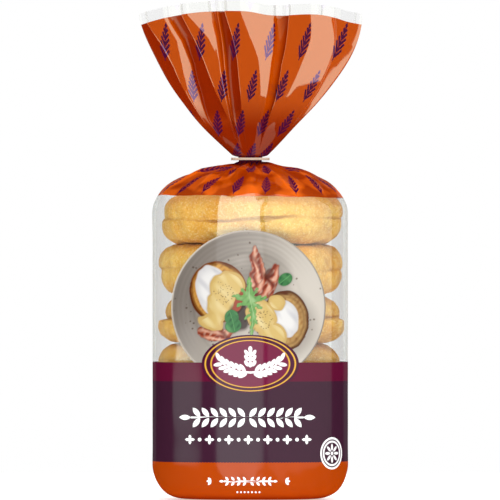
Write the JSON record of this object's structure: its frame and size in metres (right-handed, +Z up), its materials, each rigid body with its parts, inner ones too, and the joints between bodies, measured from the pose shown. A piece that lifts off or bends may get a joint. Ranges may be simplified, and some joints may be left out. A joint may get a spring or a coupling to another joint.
{
  "type": "bag of split english muffins",
  "caption": "Upright printed film bag of round split muffins, clear windows over the stack, pleated open mouth gathered at the neck by a flat bread tag.",
  "frame": {"origin": "centre of the bag's box on the ground, under the flat base", "axes": "+Z up from the base to the mouth, the printed front faces -Y, +X to the right as seen from the front"},
  "size_m": [0.116, 0.1, 0.259],
  "materials": {
    "film": "glossy printed and clear film",
    "tag_board": "matt"
  },
  "bodies": {
    "root": {"bag": "film", "bread_tag": "tag_board"}
  },
  "joints": []
}
